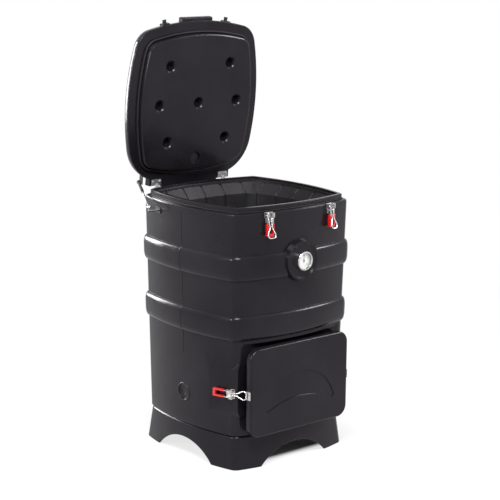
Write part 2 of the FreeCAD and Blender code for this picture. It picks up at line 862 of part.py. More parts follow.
def make_lid():
    outer = lid_outer()
    middle = lid_bottom + size["handle_rise"]
    front = -lid_half - size["handle_reach"]
    tab = box((-size["handle_half"], size["handle_half"]), (front, size["handle_root"] - lid_half),
              (middle - size["handle_height"] / 2, middle + size["handle_height"] / 2))
    tab = tab.makeFillet(size["handle_round"], [item for item in tab.Edges if item.BoundBox.YMax < front + 1])
    rail_half = hinge_spread + size["hinge_boss_half"]
    rail = box((-rail_half, rail_half), (lug_back - size["hinge_boss_root"], lug_back),
               (lid_bottom, lid_bottom + size["lug_height"]))
    seats = [lid_strike_seat(side) for side in (LEFT, RIGHT)]
    shape = outer.fuse(seats + [rail, tab, lid_plug()]).cut(lid_room(0))
    low = lid_bottom - size["plug_depth"]
    holes = []
    radius = size["kiss_radius"]
    flare = size["kiss_flare"]
    for x, y in kiss_places():
        pit = Part.makeCone(radius, radius - size["kiss_draft"], size["kiss_depth"] + 1, V(x, y, low - 1), UP)
        mouth = Part.makeCone(radius + 2 * flare, radius, 2 * flare, V(x, y, low - flare), UP)
        holes += [pit, mouth]
    start = lid_filler_place() - UP
    holes.append(Part.makeCylinder(size["lid_filler_radius"], size["lid_filler_depth"] + 1, start))
    shape = shape.cut(holes)
    add_solid("lid_shell", shape, opened)
    add_solid("lid_insulation", lid_room(size["fit_gap"]), opened)
    seal_inner = plug_half + size["lid_seal_gap"]
    seal_outer = seal_inner + size["lid_seal_width"]
    rows = [(lid_bottom - size["lid_seal_height"], 0), (lid_bottom - 0.1, 0)]
    corners = (size["plug_front_corner"], size["plug_rear_corner"])
    ring = lid_loft(rows, seal_outer, corners[0] + 8, corners[1] + 8)
    rows = [(lid_bottom - size["lid_seal_height"] - 1, 0), (lid_bottom + 1, 0)]
    ring = ring.cut(lid_loft(rows, seal_inner, corners[0] + 2, corners[1] + 2))
    add_solid("lid_seal", ring, opened)
    start = lid_filler_place() + UP * size["lid_filler_recess"]
    place = opened.multiply(FreeCAD.Placement(start, FreeCAD.Rotation()))
    length = tied["lid_filler_depth"] - tied["lid_filler_recess"] - tied["fit_gap"]
    add_cylinder("lid_filler_plug", tied["lid_filler_radius"] - tied["fit_gap"], length, place)


# Hinges: a leaf on the body, a leaf under the lid's flange and a pin through both barrels

def make_hinge(side):
    name = SIDE_NAMES[side]
    axis_place = move(side * hinge_spread, hinge_y, hinge_z)
    plate_back = -tied["hinge_stand"]
    plate_face = plate_back + tied["hinge_plate"]
    knuckle = tied["hinge_knuckle"]
    half = tied["hinge_half"]
    barrel = tied["hinge_barrel"]
    gap = tied["seat_gap"]

    leaf = add_body("hinge_body_leaf_" + name, axis_place)
    plate = rectangle(plate_back, plate_face, -tied["hinge_drop"], -knuckle - 1)
    pad(leaf, add_sketch(leaf, "YZ_Plane", [plate]), half * 2, True)
    for end in (LEFT, RIGHT):
        arm = [(plate_back, -knuckle - 4), (plate_face, -knuckle - 4), (knuckle * 0.6, -knuckle * 0.6),
               (-knuckle * 0.2, knuckle * 0.2), (plate_back + 3, -knuckle * 0.6)]
        lift = barrel + gap if end == RIGHT else -half
        wide = half - barrel - gap
        pad(leaf, add_sketch(leaf, "YZ_Plane", [arm], (), lift), wide)
        pad(leaf, add_sketch(leaf, "YZ_Plane", [], [(0, 0, knuckle)], lift), wide)
    bore = (0, 0, tied["hinge_pin"] + tied["run_gap"])
    pocket(leaf, add_sketch(leaf, "YZ_Plane", [], [bore]), half * 3)

    lid_leaf = add_body("hinge_lid_leaf_" + name, opened.multiply(axis_place))
    seat = tied["lid_lift"] - tied["hinge_lift"]
    thick = tied["hinge_plate"]
    tail = -tied["lug_short"]
    plate = rectangle(tail - 24, tail - 1, seat - thick, seat)
    pad(lid_leaf, add_sketch(lid_leaf, "YZ_Plane", [plate]), half * 2, True)
    arm = [(tail - 8, seat - thick), (tail - 1, seat), (knuckle * 0.9, knuckle * 0.4), (0, 0),
           (-knuckle * 0.9, knuckle * 0.4)]
    pad(lid_leaf, add_sketch(lid_leaf, "YZ_Plane", [arm]), (barrel - gap) * 2, True)
    pad(lid_leaf, add_sketch(lid_leaf, "YZ_Plane", [], [(0, 0, knuckle)]), (barrel - gap) * 2, True)
    pocket(lid_leaf, add_sketch(lid_leaf, "YZ_Plane", [], [bore]), half * 3)

    rotation = FreeCAD.Rotation(V(0, 1, 0), 90)
    start = V(side * hinge_spread - size["hinge_half"] - 2, hinge_y, hinge_z)
    add_cylinder("hinge_pin_" + name, tied["hinge_pin"], half * 2 + 4, FreeCAD.Placement(start, rotation))


def bolt_group(label, places):
    """Equal low bolt heads, one for each place, whose own Z points out of the surface."""
    heads = []
    for place in places:
        head = Part.makeCone(size["bolt_radius"], size["bolt_radius"] * 0.7, size["bolt_height"])
        head.Placement = place
        heads.append(head)
    add_solid(label, Part.makeCompound(heads))


def make_hinge_bolts():
    body_places = []
    lid_places = []
    face = size["body_half"] + size["hinge_plate"]
    for side in (LEFT, RIGHT):
        for end in (LEFT, RIGHT):
            x = side * hinge_spread + end * size["bolt_spread"]
            for drop in (0.45, 0.8):
                height = hinge_z - size["hinge_drop"] * drop
                body_places.append(FreeCAD.Placement(V(x, face, height), FreeCAD.Rotation(V(1, 0, 0), -90)))
            under = lid_bottom - size["hinge_plate"]
            place = FreeCAD.Placement(V(x, lug_back - 16, under), FreeCAD.Rotation(V(1, 0, 0), 180))
            lid_places.append(opened.multiply(place))
    bolt_group("hinge_body_bolts", body_places)
    bolt_group("hinge_lid_bolts", lid_places)


# Toggle latches: base, lever with a dipped grip, and a wire bail; the same four times

def front_latch_frame(side):
    """Place of a front latch on the bowed face, just under the rim."""
    across = side * latch_spread
    height = shoulder - size["latch_drop"]
    face = -(half_at(height) - sag(side_radius, latch_spread)) - size["seat_gap"]
    tilt = math.degrees(math.asin(across / side_radius))
    return FreeCAD.Placement(V(across, face, height), FreeCAD.Rotation(UP, tilt))


def door_latch_place(side):
    place = door_latch_frame(side)[0]
    return place.multiply(move(0, 0, size["door_latch_ahead"]))


def door_bail_reach(side):
    """Angle of a door latch's bail at rest, and how far ahead of the door's back its wire lies."""
    pivot = door_latch_place(side).multVec(V(0, -size["pivot_out"], -size["bail_offset"]))
    wire = door_half + size["strike_plate"] + size["wire_radius"] + size["strike_lift"]
    slope = math.asin((abs(pivot.x) - wire) / size["bail_length"])
    wire_y = pivot.y - size["bail_length"] * math.cos(slope)
    return 180 + math.degrees(slope) - size["pad_tilt"], door_back - wire_y


def wire_path(points, radius):
    """Wire of straight runs joined by equal tangent arcs."""
    edges = []
    last = points[0]
    for index in range(1, len(points) - 1):
        before = points[index - 1] - points[index]
        after = points[index + 1] - points[index]
        room = min(before.Length, after.Length) * 0.48
        before.normalize()
        after.normalize()
        half_angle = before.getAngle(after) / 2
        run = min(radius / math.tan(half_angle), room)
        bend = run * math.tan(half_angle)
        start = points[index] + before * run
        end = points[index] + after * run
        inward = (before + after).normalize()
        middle = points[index] + inward * (bend / math.sin(half_angle) - bend)
        edges.append(Part.LineSegment(last, start).toShape())
        edges.append(Part.Arc(start, middle, end).toShape())
        last = end
    edges.append(Part.LineSegment(last, points[-1]).toShape())
    return Part.Wire(edges)


def bail_shape():
    """Wire loop that hangs along -Z from its two pivot ends."""
    end = size["lever_width"] / 2 - 0.1
    leg = size["bail_leg"]
    neck = size["bail_neck"]
    drop = size["bail_neck_drop"]
    wide = size["bail_half"]
    length = size["bail_length"]
    foot = wide * 0.72
    half = [V(end, 0, 0), V(leg, 0, 0), V(neck, 0, -drop), V(wide, 0, -length + 11), V(foot, 0, -length)]
    points = half + [V(-point.x, 0, point.z) for point in reversed(half)]
    path = wire_path(points, 9)
    section = Part.Wire(Part.Circle(points[0], V(1, 0, 0), size["wire_radius"]).toShape())
    return path.makePipeShell([section], True, False)


def make_latch(label, place, bail_angle):
    width = tied["latch_width"] / 2
    tongue = tied["latch_tongue_width"] / 2
    high = tied["latch_half_height"]
    inside = tied["latch_cheek_gap"] / 2
    outside = inside + tied["latch_cheek"]
    base = add_body(label + "_base", place)
    tip = -tied["latch_tongue"]
    plate = [(-width, -high), (-tongue, -high), (-tongue, tip), (tongue, tip),
             (tongue, -high), (width, -high), (width, high), (-width, high)]
    pad(base, add_sketch(base, "XZ_Plane", [plate]), tied["latch_plate"])
    cheeks = [rectangle(low, low + tied["latch_cheek"], -high + 2, high - 1) for low in (-outside, inside)]
    pad(base, add_sketch(base, "XZ_Plane", cheeks, (), 1), tied["latch_cheek_reach"])
    hole = tied["pivot_radius"] + tied["run_gap"]
    pocket(base, add_sketch(base, "YZ_Plane", [], [(-tied["pivot_out"], 0, hole)]), tied["latch_width"] * 2)

    pivot = place.multiply(move(0, -size["pivot_out"], 0))
    outer = tied["lever_width"] / 2
    inner = outer - tied["lever_strap"]
    length = tied["lever_length"]
    strap = tied["lever_strap"]
    tail = tied["lever_tail"]
    lever = add_body(label + "_lever", pivot)
    strap_loop = [(-outer, tail), (-outer, -length), (outer, -length), (outer, tail), (inner, tail),
                  (inner, -length + strap), (-inner, -length + strap), (-inner, tail)]
    pad(lever, add_sketch(lever, "XZ_Plane", [strap_loop]), tied["lever_depth"], True)
    holes = [(0, 0, hole), (0, -tied["bail_offset"], tied["wire_radius"] + tied["run_gap"])]
    pocket(lever, add_sketch(lever, "YZ_Plane", [], holes), tied["latch_width"] * 2)

    cover = tied["grip_cover"]
    spare = 0.05
    start = -tied["grip_start"]
    grip = add_body(label + "_grip", pivot)
    grip_out = outer + cover * 0.4
    grip_in = inner - cover * 0.5
    loop = [(-grip_out, start), (-grip_out, -length - cover), (grip_out, -length - cover), (grip_out, start),
            (grip_in, start), (grip_in, -length + strap + cover), (-grip_in, -length + strap + cover),
            (-grip_in, start)]
    pad(grip, add_sketch(grip, "XZ_Plane", [loop]), tied["grip_depth"], True)
    wide = outer + spare
    narrow = inner - spare
    low = -length - spare
    inside_low = -length + strap + spare
    sleeve = [(-wide, start + 1), (-wide, low), (wide, low), (wide, start + 1), (narrow, start + 1),
              (narrow, inside_low), (-narrow, inside_low), (-narrow, start + 1)]
    pocket(grip, add_sketch(grip, "XZ_Plane", [sleeve]), tied["lever_depth"] + spare * 2)

    swing = turn(V(1, 0, 0), -bail_angle)
    bail_place = pivot.multiply(move(0, 0, -size["bail_offset"])).multiply(swing)
    add_solid(label + "_bail", bail_shape(), bail_place)
    rivets = []
    for end in (LEFT, RIGHT):
        inner_end = size["lever_width"] / 2 - size["lever_strap"]
        outer_end = size["latch_cheek_gap"] / 2 + size["latch_cheek"]
        outward = V(end, 0, 0)
        head_height = size["rivet_head"]
        shank = outer_end - inner_end + head_height
        rivet = Part.makeCylinder(size["pivot_radius"], shank, outward * inner_end, outward)
        head_start = outward * (outer_end + 0.1)
        head = Part.makeCylinder(size["pivot_radius"] + head_height, head_height, head_start, outward)
        rivet = rivet.fuse(head)
        rivet.Placement = pivot
        rivets.append(rivet)
    return rivets


def latch_screws(place):
    """Two countersunk heads on the ends of a latch base, outside its cheeks."""
    heads = []
    for x, z in ((0, 4), (0, -size["latch_tongue"] + 6)):
        head = Part.makeCone(3.4, 2.2, 1.6, V(x, -size["latch_plate"], z), V(0, -1, 0))
        head.Placement = place.multiply(head.Placement)
        heads.append(head)
    return heads


# Strikes: hooks that the bails catch, on the lid's front edge and the door's sides

def make_strike(label, place, plate_low, plate_high, lip_from, lip_out):
    """Plate in the XZ plane with a lip that stands out along -Y."""
    width = tied["strike_width"] / 2
    strike = add_body(label, place)
    plate = rectangle(-width, width, plate_low, plate_high)
    pad(strike, add_sketch(strike, "XZ_Plane", [plate]), tied["strike_plate"])
    lip = rectangle(-width * 0.55, width * 0.55, lip_from, lip_from + tied["strike_lip"])
    pad(strike, add_sketch(strike, "XZ_Plane", [lip], (), 1), lip_out)


def make_lid_strikes():
    """The wire lies above the lip when the lid is shut and the bail is up."""
    for side in (LEFT, RIGHT):
        lip_from = -tied["wire_radius"] - tied["strike_lip"] - tied["strike_slack"]
        make_strike("lid_strike_" + SIDE_NAMES[side], opened.multiply(lid_strike_place(side)),
                    -tied["lid_strike_low"], tied["lid_strike_high"], lip_from, tied["lid_strike_lip"])


def make_door_strikes():
    for side in (LEFT, RIGHT):
        height = door_latch_frame(side)[0].Base.z
        start = V(side * (door_half + 0.1), door_back, height)
        ahead = V(0, -1, 0)
        inward = V(-side, 0, 0)
        rotation = FreeCAD.Rotation(inward.cross(ahead), inward, ahead, "ZXY")
        wire_ahead = door_bail_reach(side)[1]
        lip_from = as_length(wire_ahead) - tied["wire_radius"] - tied["strike_slack"] - tied["strike_lip"]
        label = "door_strike_" + SIDE_NAMES[side]
        make_strike(label, FreeCAD.Placement(start, rotation), 1, tied["door_strike_length"], lip_from,
                    tied["door_strike_lip"])


# Gauge: boss on the upper band with a dial, pointer, glass and a probe into the bin

def make_gauge():
    height = gauge_height
    floor = size["boss_dish"] - gauge_face
    inner = size["case_radius"] - size["case_wall"]
    forward = V(0, -1, 0)
    depth = size["case_depth"]
    wall = size["case_wall"]
    start = V(0, floor, height)
    case = Part.makeCylinder(size["case_radius"], depth, start, forward)
    case = case.cut(Part.makeCylinder(inner, depth, start + forward * wall, forward))
    case = case.cut(gauge_hole(size["stem_radius"] * 0.5))
    add_solid("gauge_case", case)
    rotation = FreeCAD.Rotation(V(1, 0, 0), 90)
    dial_depth = size["dial_depth"]
    dial_face = floor - wall - dial_depth - 0.2
    place = FreeCAD.Placement(V(0, dial_face + dial_depth, height), rotation)
    add_cylinder("gauge_dial", tied["dial_radius"], tied["dial_depth"], place)
    glass = size["glass_depth"]
    glass_back = floor - depth + glass + 1.5
    add_cylinder("gauge_glass", tied["case_radius"] - tied["case_wall"] - 0.1, tied["glass_depth"],
                 FreeCAD.Placement(V(0, glass_back, height), rotation))
    bezel = Part.makeCylinder(size["case_radius"], 3, start + forward * (depth + 0.05), forward)
    bezel = bezel.cut(Part.makeCylinder(inner - 2.5, 5, start + forward * (depth - 1), forward))
    bezel = bezel.makeChamfer(1.4, [item for item in bezel.Edges if item.BoundBox.YMax < floor - depth - 2.9
                                    and item.BoundBox.XLength > 2 * size["case_radius"] - 1])
    add_solid("gauge_bezel", bezel)
    hub = Part.makeCylinder(3, 1.6, V(0, dial_face - 0.5, height), forward)
    back = dial_face - 1
    tail = height - 7
    points = [V(-1.6, back, tail), V(1.6, back, tail), V(0, back, height + size["pointer_length"])]
    hand = Part.Face(Part.makePolygon(points + [points[0]])).extrude(forward * 0.8)
    add_solid("gauge_pointer", hub.fuse(hand))
    stem = Part.makeCylinder(size["stem_radius"], size["stem_length"], V(0, floor + 0.1, height), V(0, 1, 0))
    add_solid("gauge_stem", stem)


# Stay: a gas strut from an arm on the left side to the lid's rear corner

def stay_points():
    """Centres of the lower ball, off the left face, and of the upper one, behind the open lid."""
    low = V(0, size["stay_low_y"], shoulder - size["stay_low_drop"])
    low.x = -(half_at(low.z) - sag(side_radius, low.y)) - size["stay_arm_reach"]
    high = V(size["stay_high_inset"] - lid_half, hinge_y + size["stay_high_behind"],
             shoulder + size["stay_high_rise"])
    return low, high


def make_stay():
    low, high = stay_points()
    along = (high - low).normalize()
    ball = size["stay_ball"]
    socket = size["stay_socket"]
    length = (high - low).Length
    stud_low = low - UP * size["stay_stud_length"]
    plate = size["stay_plate"]
    half = size["stay_bracket_half"]
    face = -(half_at(low.z) - sag(side_radius, low.y))
    arm = box((low.x - half * 0.6, face + 12), (low.y - half, low.y + half), (stud_low.z, stud_low.z + plate))
    foot_rise = (stud_low.z - 8, stud_low.z + plate + 8)
    foot = box((face - 9, face + 12), (low.y - half * 2, low.y + half * 2), foot_rise)
    rows = [(height, half_at(height), 0) for height in (stud_low.z - 40, stud_low.z + 40)]
    wall = body_loft(rows, size["body_corner"], -size["seat_gap"])
    foot_skin = body_loft(rows, size["body_corner"], -size["seat_gap"] - plate)
    bracket = arm.fuse(foot.common(foot_skin)).cut(wall)
    add_solid("stay_body_bracket", bracket)
    stud = Part.makeCylinder(size["stay_stud"], size["stay_stud_length"] - plate, stud_low + UP * plate)
    stud = stud.fuse(Part.makeSphere(ball, low))
    add_solid("stay_ball_stud", stud)

    cup = Part.makeSphere(socket, low)
    rod_length = length - size["stay_tube_length"] + size["stay_overlap"]
    rod = Part.makeCylinder(size["stay_rod_radius"], rod_length, low, along)
    shape = cup.fuse(rod).cut(Part.makeSphere(ball + size["run_gap"], low))
    below = box((low.x - 20, low.x + 20), (low.y - 20, low.y + 20), (low.z - 20, low.z - 2))
    shape = shape.cut(below)
    add_solid("stay_rod", shape)

    tube_start = high - along * size["stay_tube_length"]
    tube = Part.makeCylinder(size["stay_tube_radius"], size["stay_tube_length"], tube_start, along)
    tube = tube.fuse(Part.makeSphere(socket - 1, high))
    bore = Part.makeCylinder(size["stay_rod_radius"] + size["run_gap"], size["stay_tube_length"] - 15,
                             tube_start - along, along)
    add_solid("stay_tube", tube.cut(bore))

    shut_back = opened.inverse().multVec(high)
    side_gap = socket + 1
    near = high.x + side_gap
    tall = size["stay_lid_arm_half"]
    arm_length = size["stay_lid_arm"]
    arm = box((near, near + plate), (shut_back.y - arm_length, shut_back.y + tall),
              (shut_back.z - tall, shut_back.z + tall))
    arm = arm.cut(lid_form([(lid_bottom, -size["seat_gap"])] + lid_crown_rows(-size["seat_gap"])))
    add_solid("stay_lid_bracket", arm, opened)


# Build everything, check it and write one file for each sub-part

make_plinth()
make_body_shell()
make_liner()
make_body_insulation()
make_throat()
make_rim_seal()
make_body_filler_plug()
make_door()
make_lid()
for side in (LEFT, RIGHT):
    make_hinge(side)
make_hinge_bolts()
latch_places = {}
for side in (LEFT, RIGHT):
    latch_places["front_latch_" + SIDE_NAMES[side]] = (front_latch_frame(side), size["bail_rest"])
    latch_places["door_latch_" + SIDE_NAMES[side]] = (door_latch_place(side), door_bail_reach(side)[0])
rivets = []
screws = []
for label, (place, bail_angle) in latch_places.items():
    rivets += make_latch(label, place, bail_angle)
    screws += latch_screws(place)
add_solid("latch_rivets", Part.makeCompound(rivets))
add_solid("latch_screws", Part.makeCompound(screws))
make_lid_strikes()
make_door_strikes()
make_gauge()
make_stay()
doc.recompute()

for item in doc.Objects:
    if "Invalid" in item.State or "Error" in item.State:
        raise ValueError("%s did not build" % item.Label)
for item in sub_parts:
    if item.Shape.isNull() or not item.Shape.isValid():
        raise ValueError("%s has no valid solid" % item.Label)

os.makedirs("parts", exist_ok=True)
for item in sub_parts:
    item.Shape.exportStep("parts/%s.step" % item.Label)
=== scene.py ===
import math
import bmesh
import bpy
from mathutils import Matrix, Vector
from mathutils.bvhtree import BVHTree
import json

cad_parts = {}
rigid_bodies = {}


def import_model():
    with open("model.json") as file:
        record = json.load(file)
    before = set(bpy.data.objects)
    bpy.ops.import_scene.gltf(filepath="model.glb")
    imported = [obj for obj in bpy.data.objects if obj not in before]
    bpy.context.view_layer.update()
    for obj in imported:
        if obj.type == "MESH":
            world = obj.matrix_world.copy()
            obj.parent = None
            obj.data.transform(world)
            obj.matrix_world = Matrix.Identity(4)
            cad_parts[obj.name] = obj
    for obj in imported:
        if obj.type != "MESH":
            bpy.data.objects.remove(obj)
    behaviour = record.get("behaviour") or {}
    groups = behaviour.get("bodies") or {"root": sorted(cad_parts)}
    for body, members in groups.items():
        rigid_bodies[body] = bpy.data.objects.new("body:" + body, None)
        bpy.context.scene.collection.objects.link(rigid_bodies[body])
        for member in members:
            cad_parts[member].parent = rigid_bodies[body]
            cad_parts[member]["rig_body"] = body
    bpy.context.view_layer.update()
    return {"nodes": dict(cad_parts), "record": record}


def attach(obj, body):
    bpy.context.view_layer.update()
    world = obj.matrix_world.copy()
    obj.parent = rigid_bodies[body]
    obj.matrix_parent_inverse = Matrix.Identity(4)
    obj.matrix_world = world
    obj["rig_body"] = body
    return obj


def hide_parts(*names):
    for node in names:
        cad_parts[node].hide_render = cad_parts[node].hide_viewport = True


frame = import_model()

# A compost bin with its lid open, in metres. The front faces -Y and +Z is up. The origin is the
# middle of the floor under the plinth.

NODES = frame["nodes"]
SLOTS = {entry["node"]: entry["material_slot"] for entry in frame["record"]["subparts"]}
MM = 0.001


# Camera: it looks at the left front corner from a little above

CAMERA_PLACE = Vector((-3.6111, -4.26695, 1.9081))
CAMERA_AZIMUTH = math.radians(-40.42)
CAMERA_ELEVATION = math.radians(12.02)
CAMERA_ROLL = math.radians(0.55)
SENSOR_WIDTH = 36.0
FOCAL_LENGTH = 113.08
CLIP_NEAR = 0.1
CLIP_FAR = 100


def add_camera():
    level = math.cos(CAMERA_ELEVATION)
    rise = math.sin(CAMERA_ELEVATION)
    back = Vector((math.sin(CAMERA_AZIMUTH) * level, -math.cos(CAMERA_AZIMUTH) * level, rise))
    side = Vector((0, 0, 1)).cross(back).normalized()
    top = back.cross(side)
    right = side * math.cos(CAMERA_ROLL) + top * math.sin(CAMERA_ROLL)
    up = top * math.cos(CAMERA_ROLL) - side * math.sin(CAMERA_ROLL)
    data = bpy.data.cameras.new("photo_camera")
    data.sensor_width = SENSOR_WIDTH
    data.lens = FOCAL_LENGTH
    data.clip_start = CLIP_NEAR
    data.clip_end = CLIP_FAR
    camera = bpy.data.objects.new("photo_camera", data)
    bpy.context.scene.collection.objects.link(camera)
    turn = Matrix((right, up, back)).transposed().to_4x4()
    camera.matrix_world = Matrix.Translation(CAMERA_PLACE) @ turn
    bpy.context.scene.camera = camera


# Node trees

NOISE_LOW = 0.3
NOISE_HIGH = 0.7
CELL_SMOOTHNESS = 0.7
BEVEL_SAMPLES = 4
MIX_FACTOR = 0
MIX_COLOURS = (6, 7)
MIX_RESULT = 2


class Tree:
    """Short calls for building a material's or a world's nodes."""

    def __init__(self, owner):
        owner.use_nodes = True
        self.nodes = owner.node_tree.nodes
        self.links = owner.node_tree.links
        self.nodes.clear()

    def add(self, kind, **values):
        node = self.nodes.new("ShaderNode" + kind)
        for name, value in values.items():
            setattr(node, name, value)
        return node

    def join(self, source, target):
        self.links.new(source, target)

    def coordinates(self, scale=(1, 1, 1)):
        place = self.add("TexCoord").outputs["Object"]
        if scale == (1, 1, 1):
            return place
        mapping = self.add("Mapping")
        mapping.inputs["Scale"].default_value = scale
        self.join(place, mapping.inputs["Vector"])
        return mapping.outputs["Vector"]

    def noise(self, place, scale, detail=3.0, roughness=0.5):
        node = self.add("TexNoise")
        node.inputs["Scale"].default_value = scale
        node.inputs["Detail"].default_value = detail
        node.inputs["Roughness"].default_value = roughness
        self.join(place, node.inputs["Vector"])
        return node.outputs["Fac"]

    def cells(self, place, scale):
        node = self.add("TexVoronoi")
        node.feature = "SMOOTH_F1"
        node.inputs["Scale"].default_value = scale
        node.inputs["Smoothness"].default_value = CELL_SMOOTHNESS
        self.join(place, node.inputs["Vector"])
        return node.outputs["Distance"]

    def uneven(self, noise, new_low, new_high):
        """The middle part of a noise, spread between two values."""
        return self.spread(noise, NOISE_LOW, NOISE_HIGH, new_low, new_high)

    def spread(self, value, low, high, new_low, new_high):
        node = self.add("MapRange")
        ends = (("From Min", low), ("From Max", high), ("To Min", new_low), ("To Max", new_high))
        for name, number in ends:
            node.inputs[name].default_value = number
        self.join(value, node.inputs["Value"])
        return node.outputs["Result"]

    def math(self, operation, first, second):
        node = self.add("Math", operation=operation)
        for index, value in enumerate((first, second)):
            if isinstance(value, (int, float)):
                node.inputs[index].default_value = value
            else:
                self.join(value, node.inputs[index])
        return node.outputs[0]

    def blend(self, factor, first, second):
        node = self.add("Mix", data_type="RGBA")
        self.join(factor, node.inputs[MIX_FACTOR])
        for index, colour in zip(MIX_COLOURS, (first, second)):
            if isinstance(colour, tuple):
                node.inputs[index].default_value = (*colour, 1)
            else:
                self.join(colour, node.inputs[index])
        return node.outputs[MIX_RESULT]

    def bump(self, height, strength, distance, before=None):
        node = self.add("Bump")
        node.inputs["Strength"].default_value = strength
        node.inputs["Distance"].default_value = distance
        self.join(height, node.inputs["Height"])
        if before is not None:
            self.join(before, node.inputs["Normal"])
        return node.outputs["Normal"]

    def rounded(self, radius):
        node = self.add("Bevel", samples=BEVEL_SAMPLES)
        node.inputs["Radius"].default_value = radius
        return node.outputs["Normal"]

    def surface(self, colour, roughness, normal, **sockets):
        shader = self.add("BsdfPrincipled")
        for name, value in (("Base Color", colour), ("Roughness", roughness), ("Normal", normal)):
            if value is None:
                continue
            if isinstance(value, tuple):
                shader.inputs[name].default_value = (*value, 1)
            elif isinstance(value, float):
                shader.inputs[name].default_value = value
            else:
                self.join(value, shader.inputs[name])
        for name, value in sockets.items():
            shader.inputs[name.replace("_", " ")].default_value = value
        output = self.add("OutputMaterial")
        self.join(shader.outputs[0], output.inputs["Surface"])


# Studio: white floor and surroundings with soft lamps

WHITE = (1.0, 1.0, 1.0)
SKY_LEVEL = 0.24
FLOOR_SIZE = 40.0
FLOOR_PAINT = 0.85
FLOOR_NEAR = 1.0
FLOOR_FAR = 3.0
GLOW_NEAR = 0.80
WHITE_NEAR = 0.95
UNDER_MIDDLE = (0.07, 0.03, 0.0)
UNDER_HALF = (0.235, 0.275)
UNDER_SOFT = 0.03
LAMP_TARGET = (0, 0, 0.7)
LAMPS = (
    ("lamp_back_left", (-1.4, 4.2, 1.7), 1.2, 2.4, 250),
    ("lamp_left", (-4.4, 0.4, 2.4), 1.3, 1.3, 90),
    ("lamp_above", (-1.7, -2.2, 4.0), 2.4, 1.4, 320),
    ("lamp_right", (3.6, -2.4, 2.9), 1.4, 1.2, 160),
)


def sees_white(tree):
    """1 for rays that should meet the white background: camera, glossy and transmission."""
    path = tree.add("LightPath")
    clear = tree.math("MAXIMUM", path.outputs["Is Camera Ray"], path.outputs["Is Glossy Ray"])
    return tree.math("MAXIMUM", clear, path.outputs["Is Transmission Ray"])


def make_world():
    world = bpy.data.worlds.new("studio")
    bpy.context.scene.world = world
    tree = Tree(world)
    lit = tree.add("Background")
    lit.inputs["Color"].default_value = (*WHITE, 1)
    lit.inputs["Strength"].default_value = SKY_LEVEL
    seen = tree.add("Background")
    seen.inputs["Color"].default_value = (*WHITE, 1)
    seen.inputs["Strength"].default_value = 1.0
    mix = tree.add("MixShader")
    tree.join(sees_white(tree), mix.inputs[0])
    tree.join(lit.outputs[0], mix.inputs[1])
    tree.join(seen.outputs[0], mix.inputs[2])
    output = tree.add("OutputWorld")
    tree.join(mix.outputs[0], output.inputs["Surface"])


def under_plinth(tree):
    """1 on the floor inside the plinth, which the light hardly reaches, and 0 outside."""
    shift = tree.add("VectorMath", operation="SUBTRACT")
    shift.inputs[1].default_value = UNDER_MIDDLE
    tree.join(tree.coordinates(), shift.inputs[0])
    parts = tree.add("SeparateXYZ")
    tree.join(shift.outputs[0], parts.inputs[0])
    inside = 1.0
    for axis, half in enumerate(UNDER_HALF):
        away = tree.math("ABSOLUTE", parts.outputs[axis], 0.0)
        inside = tree.math("MULTIPLY", inside, tree.spread(away, half - UNDER_SOFT, half, 1.0, 0.0))
    return inside


def make_floor():
    """Wide floor that glows white to the eye far off, and shows shadows near the bin."""
    half = FLOOR_SIZE / 2
    mesh = bpy.data.meshes.new("studio_floor")
    corners = [(-half, -half, 0), (half, -half, 0), (half, half, 0), (-half, half, 0)]
    mesh.from_pydata(corners, [], [(0, 1, 2, 3)])
    floor = bpy.data.objects.new("studio_floor", mesh)
    bpy.context.scene.collection.objects.link(floor)
    material = bpy.data.materials.new("studio_white")
    tree = Tree(material)
    paint = tree.add("BsdfDiffuse")
    paint.inputs["Color"].default_value = (FLOOR_PAINT, FLOOR_PAINT, FLOOR_PAINT, 1)
    measure = tree.add("VectorMath", operation="LENGTH")
    tree.join(tree.coordinates(), measure.inputs[0])
    away = measure.outputs["Value"]
    glow = tree.add("Emission")
    tree.join(tree.spread(away, FLOOR_NEAR, FLOOR_FAR, WHITE_NEAR, 1.0), glow.inputs["Strength"])
    share = tree.spread(away, FLOOR_NEAR, FLOOR_FAR, GLOW_NEAR, 1.0)
    share = tree.math("MULTIPLY", share, tree.math("SUBTRACT", 1.0, under_plinth(tree)))
    mix = tree.add("MixShader")
    tree.join(tree.math("MULTIPLY", sees_white(tree), share), mix.inputs[0])
    tree.join(paint.outputs[0], mix.inputs[1])
    tree.join(glow.outputs[0], mix.inputs[2])
    output = tree.add("OutputMaterial")
    tree.join(mix.outputs[0], output.inputs["Surface"])
    mesh.materials.append(material)


def add_lamp(name, place, width, height, power):
    data = bpy.data.lights.new(name, "AREA")
    data.shape = "RECTANGLE"
    data.size = width
    data.size_y = height
    data.energy = power
    lamp = bpy.data.objects.new(name, data)
    bpy.context.scene.collection.objects.link(lamp)
    lamp.location = place
    aim = Vector(LAMP_TARGET) - Vector(place)
    lamp.rotation_euler = aim.to_track_quat("-Z", "Y").to_euler()


def light_studio():
    for lamp in LAMPS:
        add_lamp(*lamp)


# Materials, one for each of the record's slots

PLASTIC_TINT = (0.97, 0.90, 1.0, 1.0)
PLASTIC_SHINE = 0.25
PLASTIC_EDGE = 0.0012
BROAD_SCALE = 4.0
CLOUD_SCALE = 22.0
DUST_SCALE = 140.0
LIGHTER = 1.5
LIGHTER_BY = 0.003
CLOUD_GLOSS = (-0.04, 0.05)
DUST_GLOSS = (-0.05, 0.06)
PEEL_FINENESS = 2.6
PEEL_SHARE = 0.35
PEEL_STRENGTH = 0.5
SAG_STRENGTH = 0.25
SAG_DEPTH = 0.004


